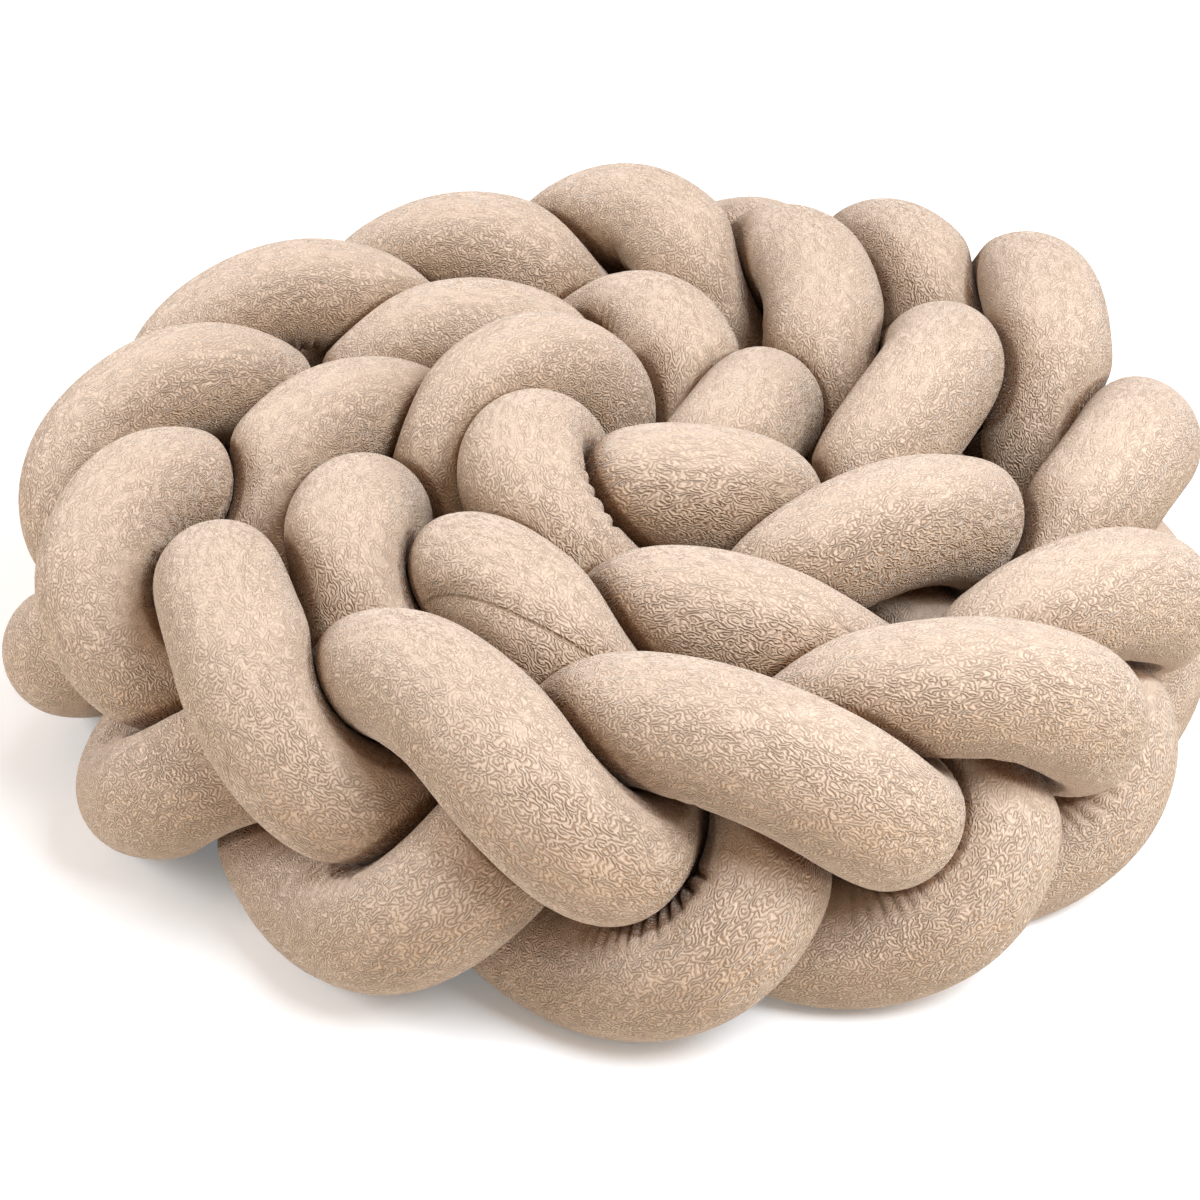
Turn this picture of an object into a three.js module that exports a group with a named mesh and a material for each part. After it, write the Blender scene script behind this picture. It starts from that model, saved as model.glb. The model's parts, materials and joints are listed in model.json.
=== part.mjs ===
// A braided crib bumper: three long stuffed tubes of plush cloth are plaited flat,
// and the plait stands on one edge and is coiled outwards into a spiral of nearly three turns.
// Millimetres, +Z up. The coil stands on z = 0 and its box is centred on the Z axis.
import * as THREE from "three";

// Driving dimensions
const TUBE_DIAMETER = 68;
const TUBE_RADIUS = TUBE_DIAMETER / 2;
const FLOOR_FLAT = 3; // how far the stuffing settles into a flat where a tube stands on the floor
const TUBE_GAP = 3.6; // left between two tubes where they press on each other
const FABRIC_STRETCH = 1.12; // a squeezed tube bulges to at most this many radii
const CREST_SHARPNESS = 7; // how tightly the cloth turns where a round side meets a pressed one
const CROWN_POINT = -0.11; // share of a third wave in the rise and fall of a tube
const BELLY_POINT = 0.06; // share of a fourth wave in its swing in and out
const COIL_MIDDLE = { x: 0.1, y: -67.96 }; // from the Z axis to the middle that the rows below count from

// One row for each crown of the plait, from the middle of the coil outwards. Each row gives
// the bearing of the crown in degrees, its reach from the coil's middle, the height of the
// tube's own middle line there, how far the foot of the plait stands outside its crown,
// how far the tubes swing out and in between crown and foot, how far they lean along the
// plait, and by how many degrees the swing runs ahead of the rise.
const CROWNS = [
  { bearing: 90, reach: 148, crown: 174, splay: -28, belly: 22, lean: -14, ahead: -4 },
  { bearing: 114, reach: 132, crown: 188, splay: -6, belly: 26, lean: -14, ahead: -10 },
  { bearing: 187, reach: 66, crown: 172, splay: 16, belly: 26, lean: -10, ahead: -4 },
  { bearing: 332, reach: 62, crown: 176, splay: 16, belly: 24, lean: -14, ahead: -2 },
  { bearing: 43, reach: 120, crown: 158, splay: 6, belly: 18, lean: -14, ahead: 2 },
  { bearing: 76, reach: 206, crown: 162, splay: -8, belly: 24, lean: -14, ahead: 2 },
  { bearing: 111, reach: 224, crown: 164, splay: 6, belly: 28, lean: -8, ahead: 4 },
  { bearing: 152, reach: 190, crown: 158, splay: 2, belly: 28, lean: -2, ahead: 4 },
  { bearing: 195, reach: 152, crown: 158, splay: 8, belly: 26, lean: -10, ahead: -4 },
  { bearing: 244, reach: 126, crown: 170, splay: -2, belly: 24, lean: -16, ahead: -10 },
  { bearing: 292, reach: 146, crown: 158, splay: 0, belly: 26, lean: -10, ahead: -2 },
  { bearing: 336, reach: 160, crown: 176, splay: 0, belly: 26, lean: -6, ahead: 6 },
  { bearing: 26, reach: 218, crown: 188, splay: 0, belly: 30, lean: -10, ahead: 14 },
  { bearing: 64, reach: 274, crown: 172, splay: -8, belly: 28, lean: -14, ahead: 18 },
  { bearing: 86, reach: 308, crown: 190, splay: -8, belly: 22, lean: -18, ahead: 18 },
  { bearing: 105, reach: 304, crown: 168, splay: -4, belly: 24, lean: -10, ahead: 0 },
  { bearing: 128, reach: 304, crown: 172, splay: 8, belly: 32, lean: -6, ahead: -8 },
  { bearing: 155, reach: 280, crown: 168, splay: 18, belly: 30, lean: -4, ahead: -8 },
  { bearing: 178, reach: 256, crown: 154, splay: 26, belly: 32, lean: 6, ahead: 4 },
  { bearing: 208, reach: 226, crown: 166, splay: 20, belly: 18, lean: -6, ahead: 10 },
  { bearing: 249, reach: 230, crown: 170, splay: 6, belly: 24, lean: -18, ahead: -14 },
  { bearing: 281, reach: 248, crown: 172, splay: -20, belly: 30, lean: -14, ahead: 10 },
  { bearing: 313, reach: 266, crown: 172, splay: -16, belly: 28, lean: -10, ahead: 10 },
  { bearing: 340, reach: 264, crown: 152, splay: -6, belly: 24, lean: -8, ahead: 6 },
  { bearing: 6, reach: 284, crown: 152, splay: 2, belly: 24, lean: 2, ahead: 12 },
  { bearing: 38, reach: 332, crown: 192, splay: 10, belly: 20, lean: -24, ahead: 8 },
  { bearing: 58, reach: 344, crown: 160, splay: 8, belly: 30, lean: -16, ahead: -4 },
  { bearing: 74, reach: 364, crown: 144, splay: 0, belly: 24, lean: -10, ahead: 0 },
  { bearing: 90, reach: 370, crown: 106, splay: 8, belly: 30, lean: -10, ahead: -10 },
  { bearing: 95, reach: 368, crown: 74, splay: 22, belly: 30, lean: -8, ahead: -8 },
];
const FIRST_CROWN = -1; // the number of the first row

// Each tube has every third crown. It starts and ends low, at these numbers along the rows.
const TUBES = [
  { name: "tube_a", crown: 0, from: -0.85, to: 26.3, colour: 0xdcc6ad },
  { name: "tube_b", crown: 1, from: -0.45, to: 26.55, colour: 0xd8c0a6 },
  { name: "tube_c", crown: 2, from: 0.3, to: 26.7, colour: 0xdac3a9 },
];

const SIDES = 12; // of each tube's section
const STATIONS = 230; // sections along each tube between its two round ends
const END_RINGS = 3; // sections in each round end
const TRACE_STEP = 1 / 36; // of a crown, for the fine trace of each middle line
const BEND_REACH = 10; // on each side of a section, to measure how tightly the tube bends there
const PRESS_REACH = 2.4; // in tube sizes, how far off a neighbour or the tube itself can press
const BEND_LIMIT = 0.92; // of the way to the middle of a bend that the inner side may fill
const LEAST_REACH = 1;
const GIRTH_ROUNDS = 3; // of fitting each section's girth to the cloth's
const EVEN_SPAN = 2; // sections on each side that a bulge is evened out over

// The value at a place along the rows, on a smooth curve drawn towards the rows' own values.
function along(values, place) {
  const padded = [2 * values[0] - values[1], ...values, 2 * values.at(-1) - values.at(-2)];
  const offset = place - FIRST_CROWN;
  const row = Math.min(Math.max(Math.floor(offset), 0), values.length - 2);
  const w = offset - row;
  const [a, b, c, d] = padded.slice(row, row + 4);
  const before = a * (1 - w) ** 3 + b * (3 * w ** 3 - 6 * w ** 2 + 4);
  const after = c * (1 + 3 * w + 3 * w ** 2 - 3 * w ** 3) + d * w ** 3;
  const falling = b * (3 * w ** 2 - 4 * w) - a * (1 - w) ** 2;
  const rising = c * (1 + 2 * w - 3 * w ** 2) + d * w ** 2;
  return { value: (before + after) / 6, slope: (falling + rising) / 2 };
}

const radians = THREE.MathUtils.degToRad;
const columns = {
  x: CROWNS.map((row) => COIL_MIDDLE.x + row.reach * Math.cos(radians(row.bearing))),
  y: CROWNS.map((row) => COIL_MIDDLE.y + row.reach * Math.sin(radians(row.bearing))),
};
for (const name of ["crown", "splay", "belly", "lean", "ahead"]) {
  columns[name] = CROWNS.map((row) => row[name]);
}

// The point of a tube's middle line at a place along the rows. The tube rises and falls once
// every three crowns, and swings out and in twice as often, so that it passes over one
// neighbour and under the next.
function tubePoint(tube, place) {
  const x = along(columns.x, place);
  const y = along(columns.y, place);
  const forward = new THREE.Vector3(x.slope, y.slope, 0).normalize();
  const outward = new THREE.Vector3(forward.y, -forward.x, 0);
  const top = new THREE.Vector3(x.value, y.value, along(columns.crown, place).value);
  const foot = top.clone().addScaledVector(outward, along(columns.splay, place).value);
  foot.z = TUBE_RADIUS - FLOOR_FLAT;
  const turn = ((place - tube.crown) * 2 * Math.PI) / 3 + Math.PI / 2;
  const ahead = radians(along(columns.ahead, place).value);
  const rise = (Math.sin(turn) + CROWN_POINT * Math.sin(3 * turn)) / (1 - CROWN_POINT);
  const swing = -(Math.sin(2 * turn + ahead) + BELLY_POINT * Math.sin(4 * turn));
  return foot
    .lerp(top, (1 + rise) / 2)
    .addScaledVector(outward, swing * along(columns.belly, place).value)
    .addScaledVector(forward, Math.sin(2 * turn) * along(columns.lean, place).value);
}

// A tube's middle line as fine points, with the distance run to each.
function traceTube(tube) {
  const points = [];
  const count = Math.round((tube.to - tube.from) / TRACE_STEP);
  for (let i = 0; i <= count; i += 1) {
    const point = tubePoint(tube, tube.from + ((tube.to - tube.from) * i) / count);
    point.z = Math.max(point.z, TUBE_RADIUS - FLOOR_FLAT);
    points.push(point);
  }
  const run = [0];
  for (let i = 1; i < points.length; i += 1) {
    run.push(run[i - 1] + points[i].distanceTo(points[i - 1]));
  }
  return { points, run, length: run.at(-1) };
}

// The point at a distance along a traced line.
function pointAt(trace, distance) {
  let i = 1;
  while (i < trace.run.length - 1 && trace.run[i] < distance) i += 1;
  const share = (distance - trace.run[i - 1]) / (trace.run[i] - trace.run[i - 1]);
  return trace.points[i - 1].clone().lerp(trace.points[i], share);
}

// Distances of the sections along a tube: close together in the round ends, even between them.
function stationDistances(length) {
  const distances = [];
  const end = TUBE_RADIUS;
  for (let i = 1; i <= END_RINGS; i += 1) {
    distances.push(end * (1 - Math.cos((i * Math.PI) / 2 / (END_RINGS + 1))));
  }
  for (let i = 0; i <= STATIONS; i += 1) distances.push(end + ((length - 2 * end) * i) / STATIONS);
  for (let i = END_RINGS; i >= 1; i -= 1) distances.push(length - distances[i - 1]);
  return distances;
}

const traces = TUBES.map(traceTube);

// How far the cloth of a section reaches in one direction: as far as its roundness, less
// where a neighbouring tube presses on it halfway between the two middle lines, where the
// tube's own bend closes up, and where it stands on the floor.
function clothReach(centre, direction, round, presses, bend) {
  let press = Infinity;
  for (const away of presses) {
    const facing = direction.dot(away);
    if (facing > 0) press = Math.min(press, away.lengthSq() / 2 / facing);
  }
  press = Math.max(press - TUBE_GAP / 2, LEAST_REACH);
  const inner = direction.dot(bend);
  if (inner > 0) press = Math.min(press, BEND_LIMIT / inner);
  const squeezed = round ** -CREST_SHARPNESS + press ** -CREST_SHARPNESS;
  const soft = squeezed ** (-1 / CREST_SHARPNESS);
  const floor = direction.z < 0 ? centre.z / -direction.z : Infinity;
  return Math.min(soft, press, floor);
}

// The sections of one tube: centre, the two directions across it, and its reach on each side.
function tubeSections(tubeIndex) {
  const trace = traces[tubeIndex];
  const distances = stationDistances(trace.length);
  const sections = [];
  let across = null;
  for (const distance of distances) {
    const centre = pointAt(trace, distance);
    const before = pointAt(trace, Math.max(distance - BEND_REACH, 0));
    const after = pointAt(trace, Math.min(distance + BEND_REACH, trace.length));
    const forward = after.clone().sub(before).normalize();
    const bend = after.clone().add(before).addScaledVector(centre, -2);
    bend.divideScalar(BEND_REACH ** 2);
    if (!across) across = new THREE.Vector3(0, 0, 1);
    across = across.clone().addScaledVector(forward, -across.dot(forward)).normalize();
    const side = new THREE.Vector3().crossVectors(forward, across);
    const presses = [];
    traces.forEach((other, otherIndex) => {
      other.points.forEach((point, i) => {
        const apart = Math.abs(other.run[i] - distance);
        if (otherIndex === tubeIndex && apart < PRESS_REACH * TUBE_DIAMETER) return;
        const away = point.clone().sub(centre);
        if (away.length() < PRESS_REACH * TUBE_RADIUS * FABRIC_STRETCH) presses.push(away);
      });
    });
    const toEnd = Math.min(distance, trace.length - distance);
    const rounding = toEnd < TUBE_RADIUS ? Math.sqrt(1 - (1 - toEnd / TUBE_RADIUS) ** 2) : 1;
    const directions = [];
    for (let j = 0; j < SIDES; j += 1) {
      const angle = (2 * Math.PI * j) / SIDES;
      const direction = across.clone().multiplyScalar(Math.cos(angle));
      directions.push(direction.addScaledVector(side, Math.sin(angle)));
    }
    sections.push({ centre, directions, presses, bend, rounding, bulge: 1 });
  }
  return sections;
}

// Bulges each pressed section until its girth is the cloth's own again, evened out along the tube.
function bulgeSections(sections) {
  const girth = 2 * SIDES * Math.sin(Math.PI / SIDES) * TUBE_RADIUS;
  for (const section of sections) {
    const { centre, presses, bend } = section;
    for (let round = 0; round < GIRTH_ROUNDS; round += 1) {
      const rim = section.directions.map((direction) => {
        const reach = clothReach(centre, direction, TUBE_RADIUS * section.bulge, presses, bend);
        return direction.clone().multiplyScalar(reach);
      });
      let length = 0;
      rim.forEach((point, j) => {
        length += point.distanceTo(rim[(j + 1) % SIDES]);
      });
      section.bulge = Math.min(section.bulge * (girth / length), FABRIC_STRETCH);
    }
  }
  const bulges = sections.map((section) => section.bulge);
  sections.forEach((section, i) => {
    const near = bulges.slice(Math.max(i - EVEN_SPAN, 0), i + EVEN_SPAN + 1);
    section.bulge = near.reduce((sum, bulge) => sum + bulge, 0) / near.length;
  });
}

// A tube's closed skin: a ring of points at each section, and one point at each end.
function tubeGeometry(tubeIndex) {
  const sections = tubeSections(tubeIndex);
  bulgeSections(sections);
  const trace = traces[tubeIndex];
  const positions = [...trace.points[0].toArray()];
  for (const { centre, directions, presses, bend, bulge, rounding } of sections) {
    for (const direction of directions) {
      const reach = clothReach(centre, direction, TUBE_RADIUS * bulge * rounding, presses, bend);
      positions.push(...centre.clone().addScaledVector(direction, reach).toArray());
    }
  }
  positions.push(...trace.points.at(-1).toArray());

  const indices = [];
  const ringStart = (i) => 1 + i * SIDES;
  const last = sections.length - 1;
  const tail = 1 + sections.length * SIDES;
  for (let j = 0; j < SIDES; j += 1) {
    const next = (j + 1) % SIDES;
    indices.push(0, ringStart(0) + next, ringStart(0) + j);
    for (let i = 0; i < last; i += 1) {
      const a = ringStart(i) + j;
      const b = ringStart(i) + next;
      const c = ringStart(i + 1) + next;
      const d = ringStart(i + 1) + j;
      indices.push(a, b, c, a, c, d);
    }
    indices.push(tail, ringStart(last) + j, ringStart(last) + next);
  }
  const geometry = new THREE.BufferGeometry();
  geometry.setAttribute("position", new THREE.Float32BufferAttribute(positions, 3));
  geometry.setIndex(indices);
  geometry.computeVertexNormals();
  return geometry;
}

const bumper = new THREE.Group();
bumper.name = "braided_crib_bumper";
TUBES.forEach((tube, tubeIndex) => {
  const plush = new THREE.MeshStandardMaterial({ color: tube.colour, roughness: 0.95 });
  const mesh = new THREE.Mesh(tubeGeometry(tubeIndex), plush);
  mesh.name = tube.name;
  bumper.add(mesh);
});

export default bumper;
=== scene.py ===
import json
import math

import bpy
import numpy as np
from bpy.props import FloatProperty, FloatVectorProperty, PointerProperty
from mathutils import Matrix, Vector

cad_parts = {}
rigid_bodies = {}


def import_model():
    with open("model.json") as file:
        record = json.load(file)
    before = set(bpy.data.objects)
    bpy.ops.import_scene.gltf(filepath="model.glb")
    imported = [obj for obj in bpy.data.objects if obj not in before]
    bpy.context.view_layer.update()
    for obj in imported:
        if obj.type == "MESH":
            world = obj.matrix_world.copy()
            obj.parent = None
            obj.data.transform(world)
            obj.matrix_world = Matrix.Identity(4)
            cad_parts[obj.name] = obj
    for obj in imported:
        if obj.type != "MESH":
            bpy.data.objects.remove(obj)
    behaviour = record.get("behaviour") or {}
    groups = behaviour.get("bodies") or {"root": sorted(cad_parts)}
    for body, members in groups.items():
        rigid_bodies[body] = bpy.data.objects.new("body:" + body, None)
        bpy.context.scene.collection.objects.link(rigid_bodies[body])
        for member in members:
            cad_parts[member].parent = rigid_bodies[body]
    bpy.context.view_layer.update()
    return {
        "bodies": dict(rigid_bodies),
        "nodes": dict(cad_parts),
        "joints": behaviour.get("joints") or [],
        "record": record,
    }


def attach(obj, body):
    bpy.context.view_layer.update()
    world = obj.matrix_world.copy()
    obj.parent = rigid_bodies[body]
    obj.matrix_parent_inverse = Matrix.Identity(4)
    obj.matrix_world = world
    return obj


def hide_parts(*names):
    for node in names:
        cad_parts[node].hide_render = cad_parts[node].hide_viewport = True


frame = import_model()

bl_info = {
    "name": "Braided crib bumper",
    "version": (1, 0, 0),
    "blender": (4, 5, 0),
    "location": "View3D > Sidebar > Bumper",
    "description": "A coiled plait of stuffed plush tubes in a pale studio",
    "category": "Add Mesh",
}

# The plait is worked out in millimetres, and its rows are those of the part's source. Each row is
# a crown of the plait: its bearing and reach from the coil's middle, the height of the middle line
# there, how far out its foot stands, and the belly, lean and early turn of the strands, in degrees
# where they are angles.
# bearing, reach, crown, splay, belly, lean, ahead
CROWNS = (
    (90, 148, 174, -28, 22, -14, -4),
    (114, 132, 188, -6, 26, -14, -10),
    (187, 66, 172, 16, 26, -10, -4),
    (332, 62, 176, 16, 24, -14, -2),
    (43, 120, 158, 6, 18, -14, 2),
    (76, 206, 162, -8, 24, -14, 2),
    (111, 224, 164, 6, 28, -8, 4),
    (152, 190, 158, 2, 28, -2, 4),
    (195, 152, 158, 8, 26, -10, -4),
    (244, 126, 170, -2, 24, -16, -10),
    (292, 146, 158, 0, 26, -10, -2),
    (336, 160, 176, 0, 26, -6, 6),
    (26, 218, 188, 0, 30, -10, 14),
    (64, 274, 172, -8, 28, -14, 18),
    (86, 308, 190, -8, 22, -18, 18),
    (105, 304, 168, -4, 24, -10, 0),
    (128, 304, 172, 8, 32, -6, -8),
    (155, 280, 168, 18, 30, -4, -8),
    (178, 256, 154, 26, 32, 6, 4),
    (208, 226, 166, 20, 18, -6, 10),
    (249, 230, 170, 6, 24, -18, -14),
    (281, 248, 172, -20, 30, -14, 10),
    (313, 266, 172, -16, 28, -10, 10),
    (340, 264, 152, -6, 24, -8, 6),
    (6, 284, 152, 2, 24, 2, 12),
    (38, 332, 192, 10, 20, -24, 8),
    (58, 344, 160, 8, 30, -16, -4),
    (74, 364, 144, 0, 24, -10, 0),
    (90, 370, 106, 8, 30, -10, -10),
    (95, 368, 74, 22, 30, -8, -8),
)
FIRST_CROWN = -1
COIL_MIDDLE = (0.1, -67.96)
CROWN_POINT = -0.11
BELLY_POINT = 0.06
TRACE_STEP = 1 / 36

# name, crown, from, to
TUBES = (
    ("tube_a", 0, -0.85, 26.3),
    ("tube_b", 1, -0.45, 26.55),
    ("tube_c", 2, 0.3, 26.7),
)

# How the stuffed cloth gives way. BEND_REACH, BULGE_SPAN and LEAST_REACH are in millimetres, and
# PRESS_REACH is in radii of a tube.
FABRIC_STRETCH = 1.12
CREST_SHARPNESS = 7
BEND_REACH = 10
PRESS_REACH = 2.4
BEND_LIMIT = 0.92
LEAST_REACH = 1
BULGE_SPAN = 40.0
BULGE_STEEPNESS = 3
BULGE_ROUNDS = 3
TINY = 1e-9

# The fine grid of each tube, and how much closer its sections stand in bends and pleats.
SIDES = 60
STATIONS = 1590
END_RINGS = 14
TRACED_POINTS = 1600
SPACING_POINTS = 4000
CROWDED_BENDS = (0.35, 0.75)
BEND_CROWDING = 0.8
PLEAT_CROWDING = 2.6

# The coarse grid on which the cloth is let go, and its simulation.
CLOTH_SIDES = 32
CLOTH_STATIONS = 680
CLOTH_END_RINGS = 5
CLOTH_FRAMES = 14
CLOTH_QUALITY = 2
CLOTH_PRESSURE = 4.0
CLOTH_DAMPING = 2
CLOTH_CAP = 3.0

# Bends where the cloth gathers in a row of pleats, in millimetres along the tube and radians round it.
# tube, from, to, angle, share of the depth
PLEATED_EDGES = (
    ("tube_a", 3582, 3672, -1.34, 1.0),
    ("tube_b", 250, 290, 0.3, 0.8),
    ("tube_b", 694, 740, -0.9, 0.6),
    ("tube_b", 1222, 1290, -1.55, 0.7),
    ("tube_b", 3124, 3168, 0.1, 0.6),
    ("tube_b", 3722, 3796, 0.05, 0.75),
    ("tube_c", 2926, 2966, -1.0, 0.6),
    ("tube_c", 3238, 3292, 0.6, 0.6),
    ("tube_c", 3796, 3848, 0.65, 0.6),
)

# Other bends get pleats too: none up to the first of PLEAT_BENDS, and full ones from the second on.
# A bend is the tube's radius over the radius of the bend.
PLEAT_BENDS = (0.24, 0.5)
TIGHTEST_BEND = 0.75
LEAST_PLEAT = 0.02

# The pleats, in millimetres along the tube and radians round it. PLEAT_ROOM is in radii of a tube,
# and PLEAT_SLANT in millimetres for each radian.
ROW_START = 3
PLEAT_FADE = (4, 14)
PLEAT_REACH = 12
PLEAT_ROOM = (1.2, 1.7)
PLEAT_POWER = 1.4
PLEAT_CORE = 0.3
PLEAT_SLANT = 4
BEND_STRAY = 0.5
BEND_SPACING_LOSS = 0.55

# The least value, and the most that a random draw adds to it: extents in radians, spacings in
# pitches, the depth in shares of the full depth and the width in millimetres.
ROW_EXTENT = (0.5, 0.16)
ROW_SPACING = (0.85, 0.3)
BEND_EXTENT = (1.2, 0.5)
BEND_SPACING = (0.8, 0.4)
PLEAT_DEPTH = (0.6, 0.4)
PLEAT_WIDTH = (1.5, 0.6)

# Each tube adds its number to the seed of its random draws.
SEED = 31

# The closing seam, in millimetres. SEAM_ANGLE is in radians, and SEAM_TWIST in radians for each
# millimetre along the tube.
SEAM_TUBE = "tube_c"
SEAM_MIDDLE = 1338
SEAM_HALF = 48
SEAM_ANGLE = 1.19
SEAM_TWIST = -0.0158
SEAM_DEPTH = 1.5
SEAM_WIDTH = 4.2
SEAM_FADE = 12
PUCKER_PITCH = 6.5
PUCKER_DEPTH = 0.35
PUCKER_WIDTH = 8
THREAD_EDGE = (0.2, 1.3)
THREAD_FADE = 10

# The seam's groove in ridge heights, and how much of the hollows' colour shows in it as painted shade.
SEAM_GROOVE = 2.0
SEAM_GROOVE_SHADE = 0.7

# The emboss, on coordinates in metres.
WANDER_SCALE = 200.0
WANDER_REACH = 0.004
CURL_CELLS = 290.0
CURL_OFFSET = 0.0055
EMBOSS_STRETCH = (1.05, 1.32, 1.32)
PATCH_SCALE = 150.0
PILE_SCALE = 1500.0
PILE_HEIGHT = 0.3

# Ramps of the emboss and its colours: from, to, and what they give at the first and at the second.
# The last one gives how much of the painted hollow shade shows.
PATCHES = (0.25, 0.6, 0.7, 1.0)
BRUSHED_TOP = (0.5, 0.95, 1.0, 0.6)
BRUSHED_UNDERSIDE = (-0.3, -0.85, 1.0, 0.6)
PRESSED_EMBOSS = (0.0, 0.5, 0.75, 1.0)
# The last four ramps paint shade: on the steep and lower sides, near other tubes, deep in the creases
# and in the hollows of the emboss.
STEEP_SHADE_SHARE = (0.8, -0.1, 0.0, 1.0)
SHADE_SHARE = (0.0, 0.6, 0.3, 0.0)
CREASE_SHADE_SHARE = (0.7, 1.0, 0.0, 0.85)
HOLLOW_SHADE_HEIGHTS = (-0.28, -0.8)

# Room beside the cloth, in radii, where the crease and the open side begin and end.
CREASE_ROOM = (0.97, 1.3)
OPEN_ROOM = (1.0, 1.9)

# The studio, in metres and degrees. The lens and the sensor are in millimetres.
LIGHT_SIZE = 1.0
LIGHT_DISTANCE = 2.0
LIGHT_AIM = (0, -0.07, 0.08)

FLOOR_SIZE = 14
FLOOR_GLOW_COLOUR = (0.75, 0.9, 1, 1)

CAMERA_TARGET = (-0.0034, -0.068, 0.1012)
CAMERA_DISTANCE = 1.71
CAMERA_ELEVATION = 32
CAMERA_LENS = 94.6
CAMERA_SENSOR = 36


class BumperSizes(bpy.types.PropertyGroup):
    """The sizes of the stuffed tubes."""

    tube_diameter: FloatProperty(
        name="Tube diameter",
        description="Thickness of one stuffed tube",
        default=0.068,
        subtype="DISTANCE",
        unit="LENGTH",
    )
    floor_flat: FloatProperty(
        name="Floor flat",
        description="How far a tube settles where it stands on the floor",
        default=0.003,
        subtype="DISTANCE",
        unit="LENGTH",
    )
    cloth_gap: FloatProperty(
        name="Cloth gap",
        description="Room left between two tubes that press on each other",
        default=0.0006,
        subtype="DISTANCE",
        unit="LENGTH",
    )
    pleat_pitch: FloatProperty(
        name="Pleat pitch",
        description="Distance from pleat to pleat on the inner side of a bend",
        default=0.0083,
        subtype="DISTANCE",
        unit="LENGTH",
    )
    pleat_depth: FloatProperty(
        name="Pleat depth",
        description="Depth of the deepest pleats",
        default=0.004,
        subtype="DISTANCE",
        unit="LENGTH",
    )


class PlushLook(bpy.types.PropertyGroup):
    """The colours, the painted shade and the emboss of the plush."""

    cloth: FloatVectorProperty(
        name="Cloth",
        description="Colour of the plush on the open sides of the tubes",
        default=(0.68, 0.535, 0.425),
        subtype="COLOR",
        size=3,
    )
    # Painted shade: the steep and lower sides are drawn darker and warmer, where less light falls on
    # them.
    steep: FloatVectorProperty(
        name="Steep sides",
        description="Colour of the plush on the steep and the lower sides",
        default=(0.54, 0.39, 0.27),
        subtype="COLOR",
        size=3,
    )
    # Painted shade where the tubes come near each other.
    shade: FloatVectorProperty(
        name="Shade",
        description="Colour of the plush where the tubes come near each other",
        default=(0.48, 0.33, 0.215),
        subtype="COLOR",
        size=3,
    )
    # Painted shade deep in the creases between the tubes.
    crease: FloatVectorProperty(
        name="Crease",
        description="Colour of the plush deep in the creases between the tubes",
        default=(0.2, 0.09, 0.035),
        subtype="COLOR",
        size=3,
    )
    # Painted shade in the hollows of the emboss.
    hollow: FloatVectorProperty(
        name="Hollows",
        description="Colour in the hollows of the emboss",
        default=(0.25, 0.14, 0.07),
        subtype="COLOR",
        size=3,
    )
    # How much of that painted hollow shade shows.
    hollow_shade_share: FloatProperty(
        name="Hollow share",
        description="How much of the hollows' colour shows",
        default=0.7,
        subtype="FACTOR",
        min=0,
        max=1,
    )
    sheen: FloatProperty(
        name="Sheen",
        description="Strength of the soft gleam at glancing angles",
        default=0.5,
        subtype="FACTOR",
        min=0,
        max=1,
    )
    ridge_pitch: FloatProperty(
        name="Ridge pitch",
        description="Distance from ridge to ridge of the emboss",
        default=0.00175,
        subtype="DISTANCE",
        unit="LENGTH",
        precision=5,
    )
    ridge_height: FloatProperty(
        name="Ridge height",
        description="Height of the embossed ridges",
        default=0.0005,
        subtype="DISTANCE",
        unit="LENGTH",
        precision=5,
    )


class StudioLook(bpy.types.PropertyGroup):
    """The floor and the lights."""

    floor: FloatVectorProperty(
        name="Floor",
        description="Colour of the studio floor",
        default=(0.95, 0.95, 0.95),
        subtype="COLOR",
        size=3,
    )
    floor_glow: FloatProperty(
        name="Floor glow",
        description="How much the floor shines by itself, as a lit paper sweep does",
        default=0.15,
    )
    ambient: FloatVectorProperty(
        name="Ambient",
        description="Colour of the light from all around",
        default=(1.0, 0.75, 0.55),
        subtype="COLOR",
        size=3,
    )
    direct: FloatVectorProperty(
        name="Lamps",
        description="Colour of the soft lights",
        default=(0.92, 1.0, 1.08),
        subtype="COLOR",
        size=3,
        max=2,
    )
    ambient_power: FloatProperty(
        name="Ambient strength",
        description="Strength of the light from all around",
        default=0.5,
    )
    key_power: FloatProperty(
        name="Key light",
        description="Power of the soft light from the front right",
        default=40,
        subtype="POWER",
        unit="POWER",
    )
    back_power: FloatProperty(
        name="Back light",
        description="Power of the soft light from behind",
        default=10,
        subtype="POWER",
        unit="POWER",
    )
    left_power: FloatProperty(
        name="Left light",
        description="Power of the low light on the left",
        default=27,
        subtype="POWER",
        unit="POWER",
    )
    right_power: FloatProperty(
        name="Right light",
        description="Power of the low light on the right",
        default=10,
        subtype="POWER",
        unit="POWER",
    )


def along(values, place):
    """Values and slopes at places along the rows, on a smooth curve drawn towards the rows."""
    values = np.asarray(values, float)
    padded = np.concatenate(([2 * values[0] - values[1]], values, [2 * values[-1] - values[-2]]))
    offset = place - FIRST_CROWN
    row = np.clip(np.floor(offset).astype(int), 0, len(values) - 2)
    w = offset - row
    a, b, c, d = (padded[row + step] for step in range(4))
    value = a * (1 - w) ** 3 + b * (3 * w**3 - 6 * w**2 + 4)
    value = (value + c * (1 + 3 * w + 3 * w**2 - 3 * w**3) + d * w**3) / 6
    slope = -a * (1 - w) ** 2 + b * (3 * w**2 - 4 * w) + c * (1 + 2 * w - 3 * w**2) + d * w**2
    return value, slope / 2


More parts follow.
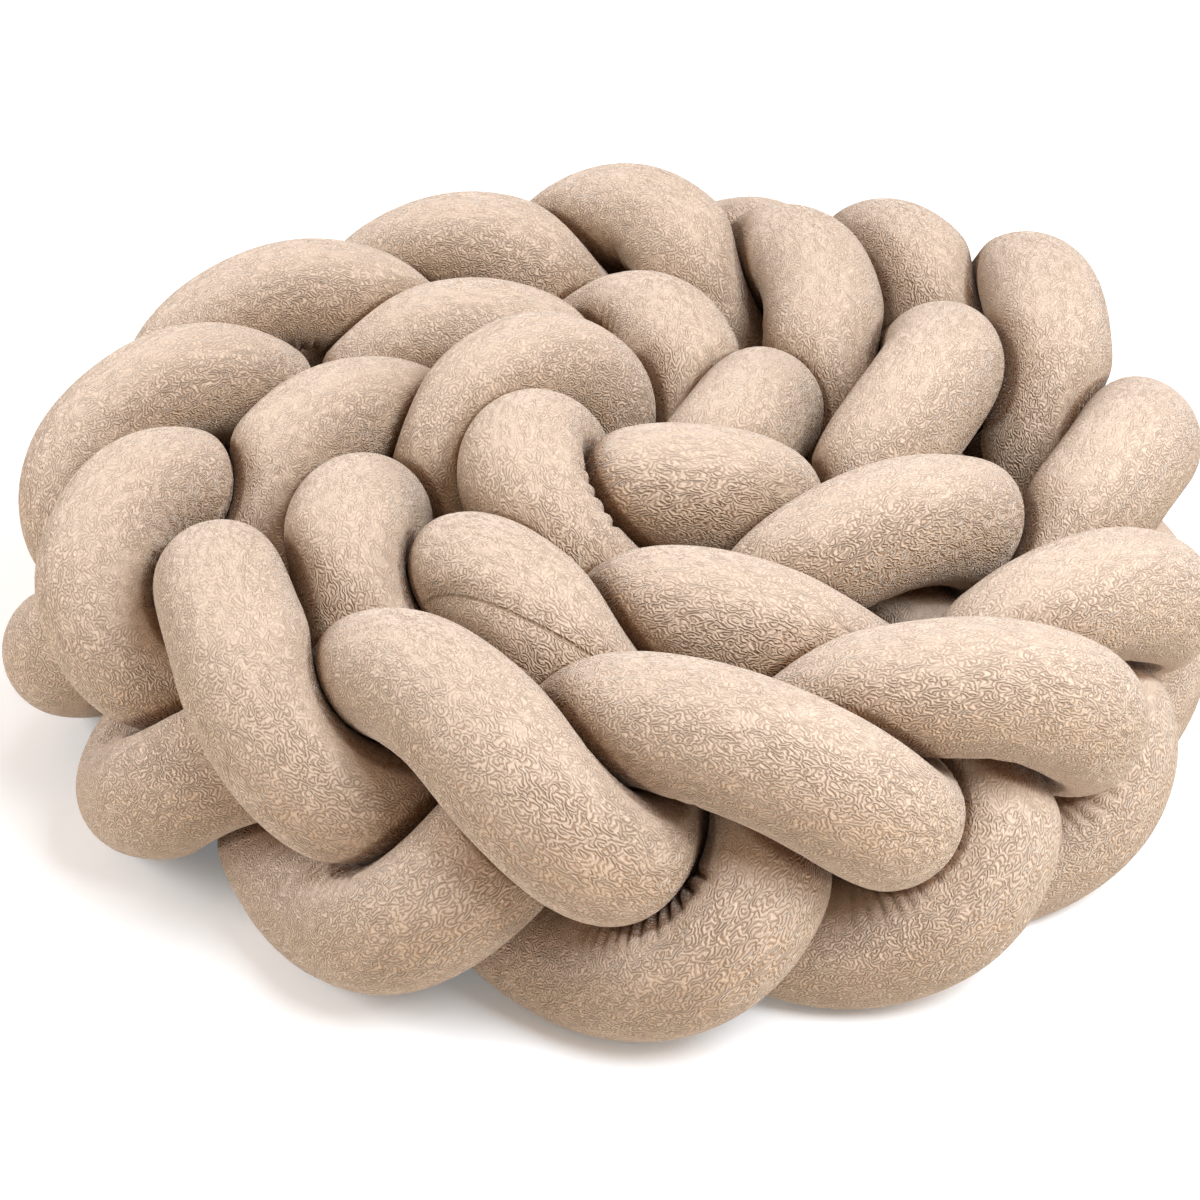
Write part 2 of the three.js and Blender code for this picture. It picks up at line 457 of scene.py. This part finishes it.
def middle_line(tube, radius, low):
    """The fine points of a tube's middle line, and the distance run to each."""
    _, crown_number, start, end = tube
    bearing, reach, crown, splay, belly, lean, ahead = (np.array(v, float) for v in zip(*CROWNS))
    columns_x = COIL_MIDDLE[0] + reach * np.cos(np.radians(bearing))
    columns_y = COIL_MIDDLE[1] + reach * np.sin(np.radians(bearing))
    place = np.linspace(start, end, round((end - start) / TRACE_STEP) + 1)
    x, slope_x = along(columns_x, place)
    y, slope_y = along(columns_y, place)
    run = np.hypot(slope_x, slope_y)
    forward = np.stack([slope_x / run, slope_y / run, 0 * run], 1)
    outward = np.stack([forward[:, 1], -forward[:, 0], 0 * run], 1)
    top = np.stack([x, y, along(crown, place)[0]], 1)
    foot = top + outward * along(splay, place)[0][:, None]
    foot[:, 2] = low
    turn = (place - crown_number) * 2 * math.pi / 3 + math.pi / 2
    early = np.radians(along(ahead, place)[0])
    rise = (np.sin(turn) + CROWN_POINT * np.sin(3 * turn)) / (1 - CROWN_POINT)
    swing = -(np.sin(2 * turn + early) + BELLY_POINT * np.sin(4 * turn))
    points = foot + (top - foot) * ((1 + rise) / 2)[:, None]
    points += outward * (swing * along(belly, place)[0])[:, None]
    points += forward * (np.sin(2 * turn) * along(lean, place)[0])[:, None]
    points[:, 2] = np.maximum(points[:, 2], low)
    steps = np.linalg.norm(np.diff(points, axis=0), axis=1)
    return points, np.concatenate(([0], np.cumsum(steps)))


def at_distance(line, distance):
    """Points at distances along a middle line."""
    points, run = line
    return np.stack([np.interp(distance, run, points[:, axis]) for axis in range(3)], 1)


def smooth_step(low, high, value):
    """0 up to the low value and 1 from the high value on, with a soft way between."""
    share = np.clip((value - low) / (high - low), 0, 1)
    return share * share * (3 - 2 * share)


def unit(vectors):
    """The vectors at length one."""
    return vectors / np.linalg.norm(vectors, axis=-1, keepdims=True)


def varied(least_and_more, draw):
    """A least value with a random share of what may be added to it."""
    least, more = least_and_more
    return least + more * draw


def pleated(name, distances):
    """1 where a row of pleats gathers the cloth, 0 away from them."""
    share = np.zeros(len(distances))
    for tube, start, stop, *_ in PLEATED_EDGES:
        if tube == name:
            beyond = np.maximum(start - distances, distances - stop)
            share = np.maximum(share, 1 - smooth_step(*PLEAT_FADE, beyond))
    return share


def station_distances(length, radius, stations, end_rings, crowding):
    """Distances of the sections: close together in the round ends, the tight bends and the pleats."""
    turn = np.arange(1, end_rings + 1) * math.pi / 2 / (end_rings + 1)
    rounding = radius * (1 - np.cos(turn))
    even = np.linspace(radius, length - radius, SPACING_POINTS)
    weight = 1 + np.interp(even, *crowding)
    filled = np.concatenate(([0], np.cumsum((weight[1:] + weight[:-1]) / 2)))
    body = np.interp(np.linspace(0, filled[-1], stations), filled, even)
    return np.concatenate((rounding, body, length - rounding[::-1]))


def crowding_of(line, name, radius):
    """Places along a tube, and how much closer its sections stand there."""
    length = line[1][-1]
    steps = np.linspace(0, length, TRACED_POINTS)
    ahead = at_distance(line, np.minimum(steps + BEND_REACH, length))
    behind = at_distance(line, np.maximum(steps - BEND_REACH, 0))
    curve = np.linalg.norm(ahead + behind - 2 * at_distance(line, steps), axis=1) / BEND_REACH**2
    bends = smooth_step(*CROWDED_BENDS, curve * radius)
    return steps, BEND_CROWDING * bends + PLEAT_CROWDING * pleated(name, steps)


def sections(lines, index, distances, sides, radius, gap):
    """Centres, directions, and the farthest reach that neighbours and the floor leave."""
    line = lines[index]
    length = line[1][-1]
    centre = at_distance(line, distances)
    before = at_distance(line, np.maximum(distances - BEND_REACH, 0))
    after = at_distance(line, np.minimum(distances + BEND_REACH, length))
    forward = unit(after - before)
    bend = (after + before - 2 * centre) / BEND_REACH**2
    across = np.empty_like(forward)
    last = np.array([0.0, 0.0, 1.0])
    for i, ahead in enumerate(forward):
        last = unit(last - ahead * last.dot(ahead))
        across[i] = last
    side = np.cross(forward, across)
    angles = np.tile(np.arange(sides) * 2 * math.pi / sides, (len(distances), 1))
    directions = across[:, None] * np.cos(angles)[..., None]
    directions = directions + side[:, None] * np.sin(angles)[..., None]
    press = np.full(angles.shape, np.inf)
    near = PRESS_REACH * radius * FABRIC_STRETCH
    for i, here in enumerate(centre):
        away = []
        for other, (points, run) in enumerate(lines):
            vectors = points - here
            keep = (vectors**2).sum(1) < near**2
            if other == index:
                keep &= np.abs(run - distances[i]) >= PRESS_REACH * 2 * radius
            away.append(vectors[keep])
        away = np.concatenate(away)
        if len(away):
            facing = directions[i] @ away.T
            half = (away**2).sum(1) / 2 / np.maximum(facing, TINY)
            press[i] = np.where(facing > 0, half, np.inf).min(1)
    press = np.maximum(press - gap / 2, LEAST_REACH)
    inner = (directions * bend[:, None]).sum(2)
    open_press = press.copy()
    press = np.where(inner > 0, np.minimum(press, BEND_LIMIT / np.maximum(inner, TINY)), press)
    down = directions[..., 2]
    floor = np.where(down < 0, centre[:, None, 2] / np.maximum(-down, TINY), np.inf)
    to_end = np.minimum(distances, length - distances)
    rounding = np.sqrt(1 - (1 - np.minimum(to_end / radius, 1)) ** 2)
    return dict(
        distances=distances,
        centre=centre,
        across=across,
        side=side,
        bend=bend,
        angles=angles,
        directions=directions,
        press=press,
        open_press=open_press,
        floor=floor,
        inner=inner,
        rounding=rounding,
    )


def cloth_reach(part, round_reach):
    """How far the cloth stands from the middle line, rounded over where it is pressed."""
    press = part["press"]
    soft = (round_reach**-CREST_SHARPNESS + press**-CREST_SHARPNESS) ** (-1 / CREST_SHARPNESS)
    return np.minimum(np.minimum(soft, press), part["floor"])


def bulge_of(part, radius):
    """How much each pressed section bulges to keep the cloth's girth, evened out along the tube."""
    sides = part["angles"].shape[1]
    girth = 2 * math.pi * radius
    bulge = np.ones(len(part["centre"]))
    for _ in range(BULGE_ROUNDS):
        reach = cloth_reach(part, (radius * bulge)[:, None])
        rim = part["directions"] * reach[..., None]
        length = np.linalg.norm(np.roll(rim, -1, axis=1) - rim, axis=2).sum(1)
        bulge = np.minimum(bulge * girth / length, FABRIC_STRETCH)
    apart = part["distances"][:, None] - part["distances"]
    weight = np.exp(-((apart / BULGE_SPAN * BULGE_STEEPNESS) ** 2))
    return (weight @ bulge) / weight.sum(1)


def make_tube(name, rings, tips):
    """A closed skin through rings of points with one tip at each end, in metres."""
    count, sides, _ = rings.shape
    verts = np.concatenate(([tips[0]], rings.reshape(-1, 3), [tips[1]])) / 1000
    ring = 1 + np.arange(count)[:, None] * sides + np.arange(sides)
    after = np.roll(ring, -1, axis=1)
    quads = np.stack([ring[:-1], after[:-1], after[1:], ring[1:]], 2).reshape(-1, 4)
    tail = len(verts) - 1
    caps = [(0, int(after[0, j]), int(ring[0, j])) for j in range(sides)]
    caps += [(tail, int(ring[-1, j]), int(after[-1, j])) for j in range(sides)]
    mesh = bpy.data.meshes.new(name)
    mesh.from_pydata(verts.tolist(), [], quads.tolist() + caps)
    mesh.update()
    piece = bpy.data.objects.new(name, mesh)
    bpy.context.scene.collection.objects.link(piece)
    mesh.shade_smooth()
    return piece


def settle_cloth(lines, index, crowding, radius, gap):
    """Lets a tube's cloth go on a coarse grid: the places along it, and how far the cloth moves out."""
    length = lines[index][1][-1]
    distances = station_distances(length, radius, CLOTH_STATIONS, CLOTH_END_RINGS, crowding)
    part = sections(lines, index, distances, CLOTH_SIDES, radius, gap)
    reach = cloth_reach(part, (radius * bulge_of(part, radius) * part["rounding"])[:, None])
    rings = part["centre"][:, None] + part["directions"] * reach[..., None]
    piece = make_tube("loose_cloth", rings, (lines[index][0][0], lines[index][0][-1]))
    piece.shape_key_add(name="plaited")
    straight = piece.shape_key_add(name="straight")
    straight.data.foreach_set("co", straight_places(part, radius, length).ravel())
    cloth = piece.modifiers.new("cloth", "CLOTH")
    settings = cloth.settings
    settings.quality = CLOTH_QUALITY
    settings.compression_stiffness = settings.tension_stiffness
    settings.air_damping = CLOTH_DAMPING
    settings.use_pressure = True
    settings.uniform_pressure_force = CLOTH_PRESSURE
    settings.effector_weights.gravity = 0
    settings.rest_shape_key = piece.data.shape_keys.key_blocks["straight"]
    cloth.collision_settings.use_collision = False
    cloth.point_cache.frame_end = CLOTH_FRAMES
    scene = bpy.context.scene
    for frame in range(1, CLOTH_FRAMES + 1):
        scene.frame_set(frame)
    settled = piece.evaluated_get(bpy.context.evaluated_depsgraph_get())
    places = np.empty(len(piece.data.vertices) * 3, np.float32)
    settled.data.vertices.foreach_get("co", places)
    scene.frame_set(1)
    mesh = piece.data
    bpy.data.objects.remove(piece)
    bpy.data.meshes.remove(mesh)
    moved = places.reshape(-1, 3)[1:-1].reshape(rings.shape) * 1000 - rings
    return distances, np.clip((moved * part["directions"]).sum(2), -CLOTH_CAP, CLOTH_CAP)


def spread(distances, moved, part):
    """The coarse movement of the cloth on the fine grid, smoothed."""
    sides = moved.shape[1]
    column = part["angles"][0] * sides / (2 * math.pi)
    before = np.floor(column).astype(int)
    share = column - before
    around = moved[:, before % sides] * (1 - share) + moved[:, (before + 1) % sides] * share
    fine = np.stack([np.interp(part["distances"], distances, values) for values in around.T], 1)
    fine = (np.roll(fine, 1, axis=1) + 2 * fine + np.roll(fine, -1, axis=1)) / 4
    padded = np.concatenate((fine[:1], fine, fine[-1:]))
    return (padded[:-2] + 2 * fine + padded[2:]) / 4


def pleat_places(name, part, radius, pitch, random):
    """Each pleat's distance, angle, half width round the tube and share of the full depth."""
    distances = part["distances"]
    squeeze = np.linalg.norm(part["bend"], axis=1) * radius
    aside = (part["bend"] * part["side"]).sum(1)
    inner_angle = np.arctan2(aside, (part["bend"] * part["across"]).sum(1))
    places = []
    for tube, start, stop, angle, strength in PLEATED_EDGES:
        here = start + ROW_START
        while tube == name and here < stop:
            places.append((here, angle, varied(ROW_EXTENT, random.random()), strength))
            here += pitch * varied(ROW_SPACING, random.random())
    here = distances[0] + radius
    while here < distances[-1] - radius:
        share = min(np.interp(here, distances, squeeze), TIGHTEST_BEND)
        strength = float(smooth_step(*PLEAT_BENDS, share))
        if strength > LEAST_PLEAT and pleated(name, np.array([here]))[0] == 0:
            i = int(np.searchsorted(distances, here))
            turn = (random.random() - 0.5) * BEND_STRAY
            extent = varied(BEND_EXTENT, random.random())
            places.append((here, inner_angle[i] + turn, extent, strength))
        here += pitch / (1 - BEND_SPACING_LOSS * share) * varied(BEND_SPACING, random.random())
    return places


def add_pleats(part, places, radius, depth, random):
    """How deep the pleats press in. They fade out where no other tube is near."""
    distances = part["distances"]
    pressed = np.zeros_like(part["press"])
    for here, middle, extent, strength in places:
        draws = random.random(3)
        low = depth * strength * varied(PLEAT_DEPTH, draws[0])
        width = varied(PLEAT_WIDTH, draws[1])
        slant = (draws[2] - 0.5) * PLEAT_SLANT
        rows = slice(*np.searchsorted(distances, (here - PLEAT_REACH, here + PLEAT_REACH)))
        turn = (part["angles"][rows] - middle + math.pi) % (2 * math.pi) - math.pi
        narrow = 1 - np.clip(part["inner"][rows] * radius, 0, TIGHTEST_BEND)
        offset = (distances[rows, None] - here - slant * turn) * narrow
        crease = np.exp(-np.abs(offset / width) ** PLEAT_POWER)
        window = 1 - smooth_step(PLEAT_CORE * extent, extent, np.abs(turn))
        pressed[rows] = np.maximum(pressed[rows], low * crease * window)
    return pressed * (1 - smooth_step(*PLEAT_ROOM, part["open_press"] / radius))


def add_seam(part, radius):
    """How deep the hand-sewn closing seam and its puckers press in."""
    distances = part["distances"][:, None]
    line = SEAM_ANGLE + SEAM_TWIST * (distances - SEAM_MIDDLE)
    aside = ((part["angles"] - line + math.pi) % (2 * math.pi) - math.pi) * radius
    window = 1 - smooth_step(SEAM_HALF - SEAM_FADE, SEAM_HALF, np.abs(distances - SEAM_MIDDLE))
    trough = SEAM_DEPTH * np.exp(-((aside / SEAM_WIDTH) ** 2))
    puckers = PUCKER_DEPTH * (1 + np.cos(distances * 2 * math.pi / PUCKER_PITCH))
    puckers = puckers * np.exp(-((aside / PUCKER_WIDTH) ** 2))
    return (trough + puckers) * window


def add_values(piece, name, values, at_tips):
    """Stores one value for each point of a tube."""
    flat = np.concatenate(([at_tips], values.ravel(), [at_tips])).astype(np.float32)
    piece.data.attributes.new(name, "FLOAT", "POINT").data.foreach_set("value", flat)


def add_upward(piece):
    """Stores how far each point of a tube faces up: 1 on top and -1 underneath."""
    normals = np.empty(len(piece.data.vertices) * 3, np.float32)
    piece.data.vertex_normals.foreach_get("vector", normals)
    layer = piece.data.attributes.new("upward", "FLOAT", "POINT")
    layer.data.foreach_set("value", normals[2::3].copy())


def straight_places(part, radius, length):
    """Each point's place on the cloth of the straight tube, before it is plaited, in metres."""
    across = radius * part["rounding"][:, None]
    angles = part["angles"]
    start = np.broadcast_to(part["distances"][:, None], angles.shape)
    places = np.stack([start, across * np.cos(angles), across * np.sin(angles)], 2).reshape(-1, 3)
    return (np.concatenate(([[0, 0, 0]], places, [[length, 0, 0]])) / 1000).astype(np.float32)


def new_material(name):
    """A material with an empty node tree."""
    material = bpy.data.materials.new(name)
    material.use_nodes = True
    material.node_tree.nodes.clear()
    return material


class Shading:
    """Short ways to add the nodes of one material."""

    def __init__(self, material):
        self.nodes = material.node_tree.nodes
        self.links = material.node_tree.links

    def add(self, kind, **settings):
        """A new node of a kind, with its settings."""
        node = self.nodes.new(kind)
        for key, value in settings.items():
            setattr(node, key, value)
        return node

    def attribute(self, name):
        """The outputs of a value stored on the piece's points."""
        return self.add("ShaderNodeAttribute", attribute_name=name).outputs

    def finish(self, shader):
        """Makes a shader the material's surface."""
        output = self.add("ShaderNodeOutputMaterial")
        self.feed(output.inputs["Surface"], shader.outputs[0])

    def feed(self, socket, value):
        """Links a socket to another one, or sets its value."""
        if isinstance(value, bpy.types.NodeSocket):
            self.links.new(value, socket)
        else:
            socket.default_value = value

    def maths(self, operation, first, second=0.0):
        """The result of a sum on one or two numbers."""
        node = self.add("ShaderNodeMath", operation=operation)
        self.feed(node.inputs[0], first)
        self.feed(node.inputs[1], second)
        return node.outputs[0]

    def vector(self, operation, first, second=None, scale=None):
        """The result of a sum on vectors."""
        node = self.add("ShaderNodeVectorMath", operation=operation)
        self.feed(node.inputs[0], first)
        if second is not None:
            self.feed(node.inputs[1], second)
        if scale is not None:
            self.feed(node.inputs["Scale"], scale)
        return node.outputs["Value" if operation in ("DOT_PRODUCT", "LENGTH") else "Vector"]

    def noise(self, place, scale, detail, roughness=0.5):
        """The outputs of a cloudy noise."""
        node = self.add("ShaderNodeTexNoise")
        node.inputs["Scale"].default_value = scale
        node.inputs["Detail"].default_value = detail
        node.inputs["Roughness"].default_value = roughness
        self.feed(node.inputs["Vector"], place)
        return node.outputs

    def ramp(self, value, low, high, start=0.0, end=1.0):
        """A soft way from start to end as the value goes from low to high."""
        node = self.add("ShaderNodeMapRange", interpolation_type="SMOOTHSTEP")
        node.inputs["From Min"].default_value = low
        node.inputs["From Max"].default_value = high
        node.inputs["To Min"].default_value = start
        node.inputs["To Max"].default_value = end
        self.feed(node.inputs["Value"], value)
        return node.outputs["Result"]

    def blend(self, share, first, second):
        """The first colour with a share of the second over it."""
        node = self.add("ShaderNodeMix", data_type="RGBA")
        self.feed(node.inputs["Factor"], share)
        self.feed(node.inputs["A"], first)
        self.feed(node.inputs["B"], second)
        return node.outputs["Result"]


def curls(shading, place, pitch):
    """A wave that runs in short nested curls over the cloth, one ridge to each pitch."""
    clouds = shading.noise(place, WANDER_SCALE, 1.0)["Color"]
    wander = shading.vector("SUBTRACT", clouds, (0.5, 0.5, 0.5))
    warped = shading.vector("ADD", place, shading.vector("SCALE", wander, scale=WANDER_REACH))
    cells = shading.add("ShaderNodeTexVoronoi", feature="F1")
    cells.inputs["Scale"].default_value = CURL_CELLS
    shading.feed(cells.inputs["Vector"], warped)
    aside = shading.vector("SUBTRACT", cells.outputs["Color"], (0.5, 0.5, 0.5))
    offset = shading.vector("SCALE", aside, scale=CURL_OFFSET)
    centre = shading.vector("ADD", cells.outputs["Position"], offset)
    away = shading.vector("SUBTRACT", warped, centre)
    outward = shading.vector("NORMALIZE", shading.vector("MULTIPLY", place, (0, 1, 1)))
    upright = shading.vector("SCALE", outward, scale=shading.vector("DOT_PRODUCT", outward, away))
    distance = shading.vector("LENGTH", shading.vector("SUBTRACT", away, upright))
    return shading.maths("SINE", shading.maths("MULTIPLY", distance, 2 * math.pi / pitch))


def sewn_line(shading, place, radius):
    """One on the thread line of the closing seam and nothing beside it."""
    parts = shading.add("ShaderNodeSeparateXYZ")
    shading.feed(parts.inputs[0], place)
    along_seam = shading.maths("SUBTRACT", parts.outputs["X"], SEAM_MIDDLE / 1000)
    angle = shading.maths("ARCTAN2", parts.outputs["Z"], parts.outputs["Y"])
    line = shading.maths("ADD", shading.maths("MULTIPLY", along_seam, SEAM_TWIST * 1000), SEAM_ANGLE)
    aside = shading.maths("ABSOLUTE", shading.maths("SUBTRACT", angle, line))
    groove = shading.ramp(aside, THREAD_EDGE[0] / radius, THREAD_EDGE[1] / radius, 1.0, 0.0)
    from_middle = shading.maths("ABSOLUTE", along_seam)
    half = SEAM_HALF / 1000
    ends = shading.ramp(from_middle, half - THREAD_FADE / 1000, half, 1.0, 0.0)
    return shading.maths("MULTIPLY", groove, ends)


def plush_height(shading, place, open_side, upward, pitch):
    """The ridges of the emboss, and the ridges with the short pile on them."""
    patchy = shading.ramp(shading.noise(place, PATCH_SCALE, 1.0)["Fac"], *PATCHES)
    # Brushing flattens the emboss on top and underneath, and the painted hollow shade with it.
    brushed = shading.ramp(upward, *BRUSHED_TOP)
    brushed = shading.maths("MULTIPLY", brushed, shading.ramp(upward, *BRUSHED_UNDERSIDE))
    depth = shading.maths("MULTIPLY", patchy, shading.ramp(open_side, *PRESSED_EMBOSS))
    depth = shading.maths("MULTIPLY", depth, brushed)
    ridges = shading.maths("MULTIPLY", curls(shading, place, pitch), depth)
    pile = shading.maths("MULTIPLY", shading.noise(place, PILE_SCALE, 3.0, 0.65)["Fac"], PILE_HEIGHT)
    return ridges, shading.maths("ADD", ridges, pile)


def plush_colour_and_shade(shading, look, open_side, crease, upward, ridges):
    """Pale on top, and painted shade elsewhere: warmer on the steep sides and near other tubes, and
    dark in creases and hollows.
    """
    # Painted shade, darker and warmer towards the steep and lower sides.
    steep = shading.ramp(upward, *STEEP_SHADE_SHARE)
    colour = shading.blend(steep, (*look.cloth, 1), (*look.steep, 1))
    # Painted shade near other tubes.
    colour = shading.blend(shading.ramp(open_side, *SHADE_SHARE), colour, (*look.shade, 1))
    # Painted shade deep in the creases.
    colour = shading.blend(shading.ramp(crease, *CREASE_SHADE_SHARE), colour, (*look.crease, 1))
    # Painted shade in the hollows of the emboss.
    hollows = shading.ramp(ridges, *HOLLOW_SHADE_HEIGHTS, 0.0, look.hollow_shade_share)
    return shading.blend(hollows, colour, (*look.hollow, 1))


def make_plush(look, name, radius, has_seam):
    """Soft plush with a crinkled emboss that is weaker where the tubes press on each other."""
    material = new_material(name)
    shading = Shading(material)
    on_cloth = shading.attribute("on_cloth")["Vector"]
    place = shading.vector("MULTIPLY", on_cloth, EMBOSS_STRETCH)
    open_side = shading.attribute("open_side")["Fac"]
    crease = shading.attribute("crease")["Fac"]
    upward = shading.attribute("upward")["Fac"]

    ridges, height = plush_height(shading, place, open_side, upward, look.ridge_pitch)
    colour = plush_colour_and_shade(shading, look, open_side, crease, upward, ridges)
    if has_seam:
        seam = sewn_line(shading, on_cloth, radius)
        height = shading.maths("SUBTRACT", height, shading.maths("MULTIPLY", seam, SEAM_GROOVE))
        # Painted shade in the seam's groove, in the hollows' colour.
        colour = shading.blend(shading.maths("MULTIPLY", seam, SEAM_GROOVE_SHADE), colour, (*look.hollow, 1))

    bump = shading.add("ShaderNodeBump")
    bump.inputs["Strength"].default_value = 1.0
    bump.inputs["Distance"].default_value = look.ridge_height
    shading.feed(bump.inputs["Height"], height)
    shader = shading.add("ShaderNodeBsdfPrincipled")
    shading.feed(shader.inputs["Base Color"], colour)
    shader.inputs["Roughness"].default_value = 0.95
    shader.inputs["Specular IOR Level"].default_value = 0.05
    shader.inputs["Sheen Weight"].default_value = look.sheen
    shader.inputs["Sheen Roughness"].default_value = 0.3
    shader.inputs["Sheen Tint"].default_value = (1.0, 0.92, 0.84, 1)
    shading.feed(shader.inputs["Normal"], bump.outputs["Normal"])
    shading.finish(shader)
    return material


def make_studio_white(look):
    """Matt white paper that shines a little by itself."""
    material = new_material("studio_white")
    shading = Shading(material)
    shader = shading.add("ShaderNodeBsdfPrincipled")
    shader.inputs["Base Color"].default_value = (*look.floor, 1)
    shader.inputs["Roughness"].default_value = 0.9
    shader.inputs["Specular IOR Level"].default_value = 0.1
    shader.inputs["Emission Color"].default_value = FLOOR_GLOW_COLOUR
    shader.inputs["Emission Strength"].default_value = look.floor_glow
    shading.finish(shader)
    return material


def stuff_tube(lines, index, sizes):
    """The sections of one stuffed tube, how far its cloth reaches, and the room beside the cloth."""
    name = TUBES[index][0]
    radius = sizes.tube_diameter * 1000 / 2
    gap = sizes.cloth_gap * 1000
    crowding = crowding_of(lines[index], name, radius)
    distances = station_distances(lines[index][1][-1], radius, STATIONS, END_RINGS, crowding)
    part = sections(lines, index, distances, SIDES, radius, gap)
    bulge = bulge_of(part, radius)
    reach = cloth_reach(part, (radius * bulge * part["rounding"])[:, None])
    random = np.random.default_rng(SEED + index)
    moved = spread(*settle_cloth(lines, index, crowding, radius, gap), part)
    reach = np.minimum(np.minimum(reach + moved, part["press"]), part["floor"])
    places = pleat_places(name, part, radius, sizes.pleat_pitch * 1000, random)
    reach -= add_pleats(part, places, radius, sizes.pleat_depth * 1000, random)
    if name == SEAM_TUBE:
        reach -= add_seam(part, radius)
    return part, reach, part["open_press"] / (radius * bulge)[:, None]


class StuffTubes(bpy.types.Operator):
    """Makes the three stuffed plush tubes of the plait"""

    bl_idname = "bumper.stuff_tubes"
    bl_label = "Stuff the plaited tubes"

    def execute(self, context):
        sizes = context.scene.bumper_sizes
        look = context.scene.bumper_plush
        radius = sizes.tube_diameter * 1000 / 2
        low = radius - sizes.floor_flat * 1000
        lines = [middle_line(tube, radius, low) for tube in TUBES]
        for index, (name, *_) in enumerate(TUBES):
            part, reach, room = stuff_tube(lines, index, sizes)
            points, run = lines[index]
            rings = part["centre"][:, None] + part["directions"] * reach[..., None]
            tube = make_tube("plush_" + name, rings, (points[0], points[-1]))
            # The open side value steers the painted shade near other tubes and how deep the emboss is.
            add_values(tube, "open_side", smooth_step(*OPEN_ROOM, room), 1.0)
            # The crease value only steers the painted shade deep in the creases.
            add_values(tube, "crease", 1 - smooth_step(*CREASE_ROOM, room), 0.0)
            # The upward value steers the painted shade of the steep and lower sides and the brushing of
            # the emboss.
            add_upward(tube)
            layer = tube.data.attributes.new("on_cloth", "FLOAT_VECTOR", "POINT")
            layer.data.foreach_set("vector", straight_places(part, radius, run[-1]).ravel())
            plush = make_plush(look, "plush_" + name[-1], radius, name == SEAM_TUBE)
            tube.data.materials.append(plush)
            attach(tube, "root")
            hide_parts(name)
        return {"FINISHED"}


def soft_light(name, bearing, elevation, power, colour):
    """A round soft light that looks at the coil from two metres away."""
    data = bpy.data.lights.new(name, "AREA")
    data.shape = "DISK"
    data.size = LIGHT_SIZE
    data.energy = power
    data.color = colour
    light = bpy.data.objects.new(name, data)
    bpy.context.scene.collection.objects.link(light)
    turn, tilt = math.radians(bearing), math.radians(elevation)
    back = Vector((math.cos(turn) * math.cos(tilt), math.sin(turn) * math.cos(tilt), math.sin(tilt)))
    light.location = Vector(LIGHT_AIM) + back * LIGHT_DISTANCE
    light.rotation_euler = (-back).to_track_quat("-Z", "Y").to_euler()


def add_camera():
    """The camera at the photo's viewing angle."""
    data = bpy.data.cameras.new("photo_camera")
    data.sensor_width = CAMERA_SENSOR
    data.lens = CAMERA_LENS
    data.clip_start = 0.05
    data.clip_end = 60
    camera = bpy.data.objects.new("photo_camera", data)
    bpy.context.scene.collection.objects.link(camera)
    elevation = math.radians(CAMERA_ELEVATION)
    back = Vector((0, -math.cos(elevation), math.sin(elevation)))
    camera.location = Vector(CAMERA_TARGET) + back * CAMERA_DISTANCE
    camera.rotation_euler = (-back).to_track_quat("-Z", "Y").to_euler()
    bpy.context.scene.camera = camera


class SetStudio(bpy.types.Operator):
    """Makes the pale floor, the soft lights and the camera"""

    bl_idname = "bumper.set_studio"
    bl_label = "Set the studio"

    def execute(self, context):
        look = context.scene.bumper_studio
        bpy.ops.object.select_all(action="DESELECT")
        bpy.ops.mesh.primitive_plane_add(size=FLOOR_SIZE, location=(0, 0, 0))
        floor = context.object
        floor.name = "studio_floor"
        floor.data.materials.append(make_studio_white(look))

        world = bpy.data.worlds.new("studio")
        context.scene.world = world
        world.use_nodes = True
        background = world.node_tree.nodes["Background"]
        background.inputs["Color"].default_value = (*look.ambient, 1)
        background.inputs["Strength"].default_value = look.ambient_power

        # name, bearing, elevation, power
        for name, bearing, elevation, power in (
            ("key_light", 315, 50, look.key_power),
            ("back_light", 90, 50, look.back_power),
            ("left_light", 180, 18, look.left_power),
            ("right_light", 0, 18, look.right_power),
        ):
            soft_light(name, bearing, elevation, power, look.direct)

        add_camera()
        context.scene.view_settings.view_transform = "Standard"
        return {"FINISHED"}


class BumperPanel(bpy.types.Panel):
    """The bumper's sizes, colours and steps"""

    bl_idname = "VIEW3D_PT_bumper"
    bl_label = "Braided crib bumper"
    bl_space_type = "VIEW_3D"
    bl_region_type = "UI"
    bl_category = "Bumper"

    def draw(self, context):
        scene = context.scene
        for group in (scene.bumper_sizes, scene.bumper_plush, scene.bumper_studio):
            box = self.layout.box()
            for name in group.__annotations__:
                box.prop(group, name)
        for operator in OPERATORS:
            self.layout.operator(operator.bl_idname)


OPERATORS = (StuffTubes, SetStudio)
CLASSES = (BumperSizes, PlushLook, StudioLook, *OPERATORS, BumperPanel)


def register():
    for cls in CLASSES:
        bpy.utils.register_class(cls)
    bpy.types.Scene.bumper_sizes = PointerProperty(type=BumperSizes)
    bpy.types.Scene.bumper_plush = PointerProperty(type=PlushLook)
    bpy.types.Scene.bumper_studio = PointerProperty(type=StudioLook)


def unregister():
    del bpy.types.Scene.bumper_studio
    del bpy.types.Scene.bumper_plush
    del bpy.types.Scene.bumper_sizes
    for cls in reversed(CLASSES):
        bpy.utils.unregister_class(cls)


def main():
    register()
    bpy.ops.bumper.stuff_tubes()
    bpy.ops.bumper.set_studio()
    bpy.context.view_layer.update()


if __name__ == "__main__":
    main()
